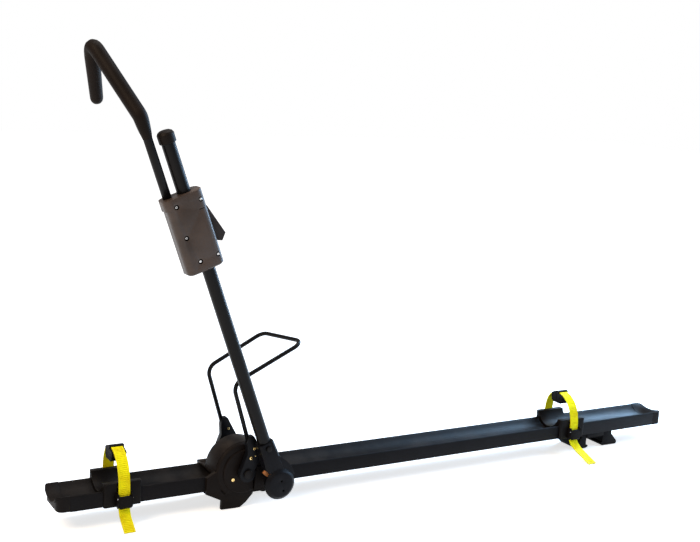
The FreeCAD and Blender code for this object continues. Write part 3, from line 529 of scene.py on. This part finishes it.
def screw_head(x, z, face, outward, radius, height):
    """A pan head on a face that looks along Y, with its recess."""
    rings = []
    lobed = [(1.0, 0.0, 0), (1.0, 0.45, 0), (0.93, 0.78, 0), (0.72, 1.0, 0), (0.46, 1.0, 1), (0.44, 0.35, 1)]
    for share, rise, lobes in lobed:
        points = []
        for i in range(head_around):
            angle = i * 2 * math.pi / head_around
            reach = radius * share * (1 + lobe_reach * lobes * math.cos(lobe_count * angle))
            level = face + outward * height * rise
            points.append((x + reach * math.cos(angle), level, z + reach * math.sin(angle)))
        rings.append(points)
    return rings_skinned(rings)


def gathered(shapes):
    """Several shapes as one, without joining their solids."""
    bm = bmesh.new()
    for shape in shapes:
        mesh = bpy.data.meshes.new("part")
        shape.to_mesh(mesh)
        shape.free()
        bm.from_mesh(mesh)
        bpy.data.meshes.remove(mesh)
    return bm


heads = [screw_head(x, z, disc_face, -1, 0.0036, height) for x, z, height in near_heads]
heads += [screw_head(pin_x + dx, pin_z + dz, far_face, 1, 0.0034, 0.0022) for dx, dz in far_heads]
zinc = coating("yellow_zinc_plate", (0.72, 0.52, 0.22), 0.24, 2.0, 0.01, metallic=1.0)
finish(zinc, modelled("cover_screw_heads", gathered(heads), "cover_screws", ("cover_screws",)),
       dressed("base_bolts"), dressed("base_anchor_plate"))


# Hoop. One bent steel wire in two moulded arms that turn on a cross pin through the base. Each arm is a slim
# triangle that follows the wire, held by two screws.
wire_black = coating("gloss_black_wire", (0.0036, 0.0032, 0.0034), 0.38, 3.0, 0.02, coat=0.06)
finish(wire_black, dressed("hoop_wire"))
arm_outline = [(-0.0550, 0.0570), (-0.0440, 0.0870), (-0.0455, 0.1080), (-0.0440, 0.1205), (-0.0425, 0.1215),
               (-0.0335, 0.1215), (-0.0318, 0.1200), (-0.0128, 0.0858), (-0.0136, 0.0830), (-0.0270, 0.0560)]
arm_inner, arm_outer = 0.054, 0.066
arm_eye_r = 0.0160
arm_screws = [(-0.0310, 0.0970, 0.0030), (-0.0370, 0.0790, 0.0036)]
arm_head_high = 0.0018
arms = []
arm_heads = []
for side, name in ((-1, "near"), (1, "far")):
    y0, y1 = sorted((side * arm_inner, side * arm_outer))
    arm = worked(plate(arm_outline, y0, y1), rod((pin_x, y0, pin_z), (pin_x, y1, pin_z), arm_eye_r), "UNION")
    arm = worked(arm, rod((pin_x, y0 - overlap, pin_z), (pin_x, y1 + overlap, pin_z), pin_bore))
    arms.append(modelled("hoop_arm_" + name, arm, "hoop_gusset_" + name, ("hoop_gusset_" + name,), 0.0009))
    for x, z, radius in arm_screws:
        arm_heads.append(screw_head(x, z, side * arm_outer, side, radius, arm_head_high))
arm_black = coating("hoop_arm_moulding", (0.0044, 0.0046, 0.0062), 0.42, 0.9, 0.04, shine=0.35)
finish(arm_black, *arms)
near_rivet = screw_head(-0.0280, 0.0822, -arm_outer, -1, 0.0015, 0.0012)
far_screw_end = screw_head(-0.0302, 0.0982, arm_inner, -1, 0.0026, 0.0015)
arm_heads += [near_rivet, far_screw_end]
finish(zinc, modelled("hoop_arm_screw_heads", gathered(arm_heads), "gusset_screws", ("gusset_screws",)))
dark_steel = coating("blackened_steel", (0.006, 0.005, 0.005), 0.45, 2.0, 0.01, shine=0.4)
finish(dark_steel, dressed("hoop_pin", 0.0005))


# Mast foot. A cast hub with a domed round cover, on a steel pivot bolt with a nylon washer behind it. Its
# amber lock tab sticks out of the round core, in a cut-away at the left of the neck.
hub = Vector((0.012, -0.080, 0.031))
on_mast = Matrix.Translation(hub) @ Matrix.Rotation(math.radians(-20.5), 4, "Y")
core_r = 0.0232
cut_outline = [(-0.040, 0.002), (-0.0124, 0.002), (-0.0124, 0.024), (-0.0160, 0.036), (-0.040, 0.036)]
flare_outline = [(0.0120, 0.058), (0.0185, 0.050), (0.0270, 0.036), (0.0335, 0.020), (0.0345, 0.004),
                 (0.0120, 0.004)]
flare_y = (-0.0125, -0.0040)
pocket = (-0.040, -0.040, 0.0130), (-0.0050, 0.0014, 0.0285)
drum_share = 0.925
tab_turn = math.radians(-136.5)
tab_end, tab_rib_r = 0.0321, 0.0006
cutaway = worked(plate(cut_outline, -0.04, 0.04), rod((0, -0.05, 0), (0, 0.05, 0), core_r))
flare = plate(flare_outline, *flare_y)
casting = packed_shape("mast_hub")
bmesh.ops.transform(casting, matrix=on_mast.inverted(), verts=casting.verts)
casting = worked(worked(casting, cutaway), flare, "UNION")
casting = worked(casting, block(*pocket))
bmesh.ops.transform(casting, matrix=on_mast, verts=casting.verts)
drum = packed_shape("drum_cover")
bmesh.ops.scale(drum, vec=(drum_share, 1.0, drum_share), verts=drum.verts,
                space=Matrix.Translation((-hub.x, 0, -hub.z)))
hub_black = coating("cast_hub_paint", (0.0038, 0.0038, 0.0052), 0.44, 1.4, 0.06, coat=0.02, shine=0.28)
finish(hub_black, modelled("mast_hub_casting", casting, "mast_hub", ("mast_hub",), 0.0009),
       modelled("drum_cover_domed", drum, "drum_cover", ("drum_cover",), 0.0006))
steel = coating("bright_steel", (0.50, 0.49, 0.48), 0.26, 2.0, 0.01, metallic=1.0)
finish(steel, dressed("mast_pivot_bolt"))
finish(dark_steel, dressed("socket_bolt", 0.0004))
nylon = coating("natural_nylon", (0.52, 0.50, 0.44), 0.45, 1.0, 0.02)
finish(nylon, dressed("mast_friction_washer"), dressed("slider_bushes"))
tab_low, tab_high = (0.0170, -0.0800, -0.0060), (0.0330, -0.0734, 0.0060)
tab = block(tab_low, tab_high)
for rib in (-0.0036, -0.0012, 0.0012, 0.0036):
    tab = worked(tab, rod((tab_end, -0.079, rib), (tab_end, -0.073, rib), tab_rib_r, around=12))
on_core = Matrix.Translation((hub.x, 0, hub.z)) @ Matrix.Rotation(tab_turn, 4, "Y")
bmesh.ops.transform(tab, matrix=on_core, verts=tab.verts)
amber = coating("amber_moulding", (0.60, 0.25, 0.10), 0.40, 0.8, 0.02)
finish(amber, modelled("lock_tab_moulding", tab, "mast_lock_tab", ("mast_lock_tab",), 0.0004))


# Mast. A round steel tube in semi-gloss black, with a domed cap pressed over its top. Its foot stands in the
# neck of the hub, and the slots along its hidden side hold the slider.
mast_black = coating("mast_paint", (0.0034, 0.0028, 0.0028), 0.36, 2.4, 0.02, coat=0.05, shine=0.35)
finish(mast_black, dressed("mast_tube"))
mast_cap_black = coating("cap_moulding", (0.0085, 0.0058, 0.0045), 0.46, 0.8, 0.03)
finish(mast_cap_black, dressed("mast_cap", 0.0006))


# Slider. Two moulded grey shells screwed together round the mast, with the squeeze lever on one side. The
# five screws sit deep in round sinks, whose walls, like those of a slot line near the top, carry painted
# shade.
near_face = -0.023
sink_r = 0.0044
slot_low, slot_high = 0.5555, 0.5568
slot_left, slot_right = 0.0095, 0.0285
slot_deep = 0.0011
sunk = 0.0024
slider_head_r, slider_head_high = 0.0024, 0.0019
screw_places = [(-0.028, 0.574), (0.018, 0.572), (-0.028, 0.517), (-0.017, 0.469), (0.018, 0.469)]
shell = packed_shape("slider_shell_near")
bmesh.ops.transform(shell, matrix=on_mast.inverted(), verts=shell.verts)
slot_line = block((slot_left, near_face - 0.002, slot_low), (slot_right, near_face + slot_deep, slot_high))
shell = worked(shell, slot_line)
# Painted shade: the faces in the screw sinks and in the slot line take the near-black second material.
for face in shell.faces:
    middle = face.calc_center_median()
    near_screw = min(math.hypot(middle.x - x, middle.z - z) for x, z in screw_places) < sink_r + 0.0001
    in_slot = abs(middle.z - (slot_low + slot_high) / 2) < 0.0008 and middle.x > 0.009
    if (near_screw or in_slot) and middle.y > near_face + 0.0002:
        face.material_index = 1
bmesh.ops.transform(shell, matrix=on_mast, verts=shell.verts)
near_shell = modelled("slider_near_moulding", shell, "slider_shell_near", ("slider_shell_near",), 0.0005)
slider_grey = coating("slider_moulding", (0.060, 0.041, 0.032), 0.42, 0.7, 0.05, shine=1.0)
painted_sink_shade = coating("slider_sink_shadow", (0.004, 0.003, 0.003), 0.60, 0.7, 0.02, shine=0.1)
finish(slider_grey, near_shell, dressed("slider_shell_far", 0.0008))
near_shell.data.materials.append(painted_sink_shade)
lever_grey = coating("lever_moulding", (0.044, 0.036, 0.034), 0.46, 0.7, 0.05)
finish(lever_grey, dressed("release_lever", 0.0006))
slider_heads = gathered([screw_head(x, z, near_face + sunk, -1, slider_head_r, slider_head_high)
                         for x, z in screw_places])
bmesh.ops.transform(slider_heads, matrix=on_mast, verts=slider_heads.verts)
chrome = coating("screw_chrome", (0.62, 0.61, 0.60), 0.18, 2.0, 0.005, metallic=1.0)
finish(chrome, modelled("slider_screw_heads", slider_heads, "slider_screws", ("slider_screws",)))
finish(steel, dressed("release_lever_pin"), dressed("release_lever_spring"), dressed("ratchet_pawl"),
       dressed("ratchet_pawl_pin"))


# Hook. A steel rod clamped in the slider, with a soft black moulding over its bent end. The moulding grows
# out of the rod, is thickest over the bend, and ends in a round tip.
finish(mast_black, dressed("hook_rod"))
rod_offset = -0.0317
hook_turn = math.radians(10.0)
elbow, bend, tip = (0.0, 0.736), (0.0838, 0.8684), (0.1320, 0.7660)
hook_step = 0.003
start_r, thick_r, tip_r = 0.0082, 0.0131, 0.0110
grown_over, thinned_over = 0.050, 0.09
least_r = 0.0012
hook_around = 32


def between(first, second, share):
    return tuple(a + (b - a) * share for a, b in zip(first, second))


def smooth_route(guides, spacing):
    """Evenly spaced points along the smooth line that the guide points pull on."""
    curve = bpy.data.curves.new("route", "CURVE")
    curve.dimensions = "3D"
    spline = curve.splines.new("NURBS")
    spline.points.add(len(guides) - 1)
    for point, guide in zip(spline.points, guides):
        point.co = (*guide, 1.0)
    spline.order_u = 3
    spline.use_endpoint_u = True
    spline.resolution_u = 20
    holder = bpy.data.objects.new("route", curve)
    scene.collection.objects.link(holder)
    mesh = bpy.data.meshes.new_from_object(holder)
    line = [vert.co.copy() for vert in mesh.vertices]
    bpy.data.objects.remove(holder)
    bpy.data.meshes.remove(mesh)
    bpy.data.curves.remove(curve)
    total = sum((b - a).length for a, b in zip(line, line[1:]))
    count = round(total / spacing)
    points = [line[0]]
    travelled, start = 0.0, 0
    for i in range(1, count + 1):
        goal = total * i / count
        while start < len(line) - 2 and travelled + (line[start + 1] - line[start]).length < goal:
            travelled += (line[start + 1] - line[start]).length
            start += 1
        run = line[start + 1] - line[start]
        points.append(line[start] + run * min(1.0, (goal - travelled) / run.length))
    return points


def directions(points):
    """The direction of travel at each point of a route."""
    last = len(points) - 1
    return [(points[min(i + 1, last)] - points[max(i - 1, 0)]).normalized() for i in range(len(points))]


in_plane = [(0.0, 0.697), (0.0, 0.724), elbow, between(elbow, bend, 0.08), between(elbow, bend, 0.45),
            between(elbow, bend, 0.76), between(elbow, bend, 0.915), between(bend, tip, 0.12),
            between(bend, tip, 0.42), between(bend, tip, 0.75), between(bend, tip, 1.085)]
turned_plane = [(rod_offset - w * math.sin(hook_turn), w * math.cos(hook_turn), s) for w, s in in_plane]
hook_line = smooth_route(turned_plane, hook_step)
across_hook = Vector((math.cos(hook_turn), math.sin(hook_turn), 0.0))
rings = []
for i, (point, ahead_here) in enumerate(zip(hook_line, directions(hook_line))):
    left_over = (len(hook_line) - 1 - i) * hook_step
    grown = min(1.0, i * hook_step / grown_over)
    radius = start_r + (thick_r - start_r) * grown * (2 - grown)
    radius = min(radius, tip_r + (thick_r - tip_r) * min(1.0, left_over / thinned_over))
    if left_over < tip_r:
        radius = max(least_r, math.sqrt(max(0.0, tip_r ** 2 - (tip_r - left_over) ** 2)))
    other = ahead_here.cross(across_hook).normalized()
    rings.append([point + (across_hook * math.cos(a) + other * math.sin(a)) * radius
                  for a in (2 * math.pi * k / hook_around for k in range(hook_around))])
hook = rings_skinned(rings)
bmesh.ops.transform(hook, matrix=on_mast, verts=hook.verts)
hook_rubber = coating("hook_moulding", (0.0092, 0.0060, 0.0046), 0.50, 0.9, 0.05, shine=0.25)
finish(hook_rubber, modelled("hook_moulding", hook, "hook_sleeve", ("hook_sleeve",)))


# Wheel cradles. Moulded saddles that slide on the tray. Each has a yellow strap with cross ribs between
# plain raised rails, a soft pad that bears on the rim, and a black buckle on its near side.
strap_half = 0.0105
strap_thick = 0.0012
rail = 0.0026
rail_slope = 0.0004
rib_pitch = 0.0035
rib_low = 0.0004
near_y, far_y = -0.0474, 0.0430
pad_half = 0.0140
scoop_r, scoop_z = 0.0335, 0.066
pad_deep = 0.0235
pad_over, pad_falls = 0.0036, 0.0026
pad_back, pad_front = 0.021, 0.018
pad_hood = 0.005
pad_groove = 0.0009
pad_flat, end_rise = 0.014, 1.1
pad_narrows = 0.90
wall_back, wall_front = 0.0235, 0.0140


def strap_guides(x, tail_reach, drop):
    """The strap's line: from its loose tail up through the buckle, over the wheel and down to its screw."""
    tail = [(near_y - tail_reach, floor_z + 0.0016), (near_y - tail_reach * 0.62, floor_z + 0.0105),
            (near_y - tail_reach * 0.26, floor_z + 0.019), (near_y - 0.0012, 0.006)]
    arch = [(near_y, 0.022), (near_y, 0.046), (-0.0442, 0.069), (-0.0357, 0.0885), (-0.0195, 0.1035),
            (-0.0015, 0.1105), (0.0155, 0.1085), (0.0300, 0.0990), (0.0388, 0.0830), (0.0420, 0.0660),
            (far_y, 0.0480), (far_y, rim_z - 0.012)]
    lowered = [(y, z - drop * min(1.0, max(0.0, (z - 0.05) / 0.05))) for y, z in arch]
    return [(x, y, z) for y, z in tail + lowered]


def band_rings(line, half, heights):
    """Loops across a band: heights gives its rails, its outer middle and its inner face at each point."""
    rings = []
    for i, (point, ahead_here) in enumerate(zip(line, directions(line))):
        outward = Vector((0.0, -ahead_here.z, ahead_here.y))
        high, middle, low = heights(i)
        edge = half - rail
        profile = [(-half, high), (-edge, high), (-edge + rail_slope, middle), (edge - rail_slope, middle),
                   (edge, high), (half, high), (half, low), (-half, low)]
        rings.append([point + Vector((a, 0, 0)) + outward * b for a, b in profile])
    return rings


def strap_heights(i):
    """The rails and the inner face are level, and two of every four points of the middle are a rib."""
    return strap_thick, strap_thick if i % 4 < 2 else rib_low, -strap_thick


# The cradles take painted warm light on the faces that look up.
cradle_black = coating("cradle_moulding", (0.0052, 0.0040, 0.0036), 0.50, 0.8, 0.05, top_light=0.07, shine=0.28)
strap_yellow = coating("strap_moulding", (0.98, 0.76, 0.006), 0.50, 0.9, 0.02, shine=0.22)
pad_black = coating("pad_rubber", (0.0044, 0.0034, 0.0032), 0.58, 0.7, 0.06, shine=0.28)
spacing = rib_pitch / 4
for place, strap_x, tail_reach, drop in (("front", -0.276, 0.034, 0.0), ("rear", 0.774, 0.070, 0.0025)):
    line = smooth_route(strap_guides(strap_x, tail_reach, drop), spacing)
    band = rings_skinned(band_rings(line, strap_half, strap_heights))
    finish(strap_yellow, modelled(place + "_ribbed_strap", band, place + "_strap", (place + "_strap",)))
    crown = max(range(len(line)), key=lambda i: line[i].z)
    start, stop = crown - round(pad_back / spacing), crown + round(pad_front / spacing)
    rings = []
    for i in range(start, stop + 1):
        ahead_here = (line[i + 1] - line[i - 1]).normalized()
        outward = Vector((0.0, -ahead_here.z, ahead_here.y))
        from_crown = (i - crown) * spacing
        over = pad_over - pad_falls * max(0.0, from_crown) / pad_front
        top = line[i] + outward * (over if from_crown > -pad_hood else -strap_thick - 0.0001)
        inset = pad_groove if i % 6 < 3 else 0.0
        raised_end = max(0.0, abs(from_crown) - pad_flat) * end_rise
        low = Vector((strap_x, top.y * pad_narrows, line[crown].z - pad_deep + raised_end))
        rings.append([top + Vector((-pad_half, 0, 0)), top + Vector((pad_half, 0, 0)),
                      low + Vector((pad_half - inset, 0, inset)), low + Vector((inset - pad_half, 0, inset))])
    pad = rings_skinned(rings)
    finish(pad_black, modelled(place + "_rim_pad_moulding", pad, place + "_rim_pad", (place + "_rim_pad",)))
    wall = block((strap_x - wall_back, -0.0435, 0.0465), (strap_x - wall_front, -0.0270, 0.0570))
    wall = worked(wall, rod((strap_x - 0.05, 0, scoop_z), (strap_x + 0.05, 0, scoop_z), scoop_r, around=96))
    node = place + "_cradle"
    cradle = worked(packed_shape(node), wall, "UNION")
    finish(cradle_black, modelled(node + "_moulding", cradle, node, (node,), 0.0008))
    finish(pad_black, dressed(place + "_buckle_body", 0.0004), dressed(place + "_buckle_lever", 0.0004))
    finish(chrome, dressed(place + "_buckle_pin", 0.0003))
    finish(steel, dressed(place + "_strap_screw"))


# Crossbar clamps. Cast black jaws with rubber pads that rest on the crossbars. A bolt with its nut pulls
# each moving jaw in against the bar.
cast_black = coating("clamp_casting", (0.0040, 0.0036, 0.0040), 0.52, 1.0, 0.08, shine=0.28)
finish(cast_black, dressed("rear_clamp_block", 0.0008), dressed("rear_moving_jaw", 0.0008),
       dressed("front_moving_jaw", 0.0008))
for place in ("front", "rear"):
    finish(pad_black, dressed(place + "_saddle_pad", 0.0003))
    finish(steel, dressed(place + "_clamp_bolt"), dressed(place + "_clamp_nut", 0.0004))
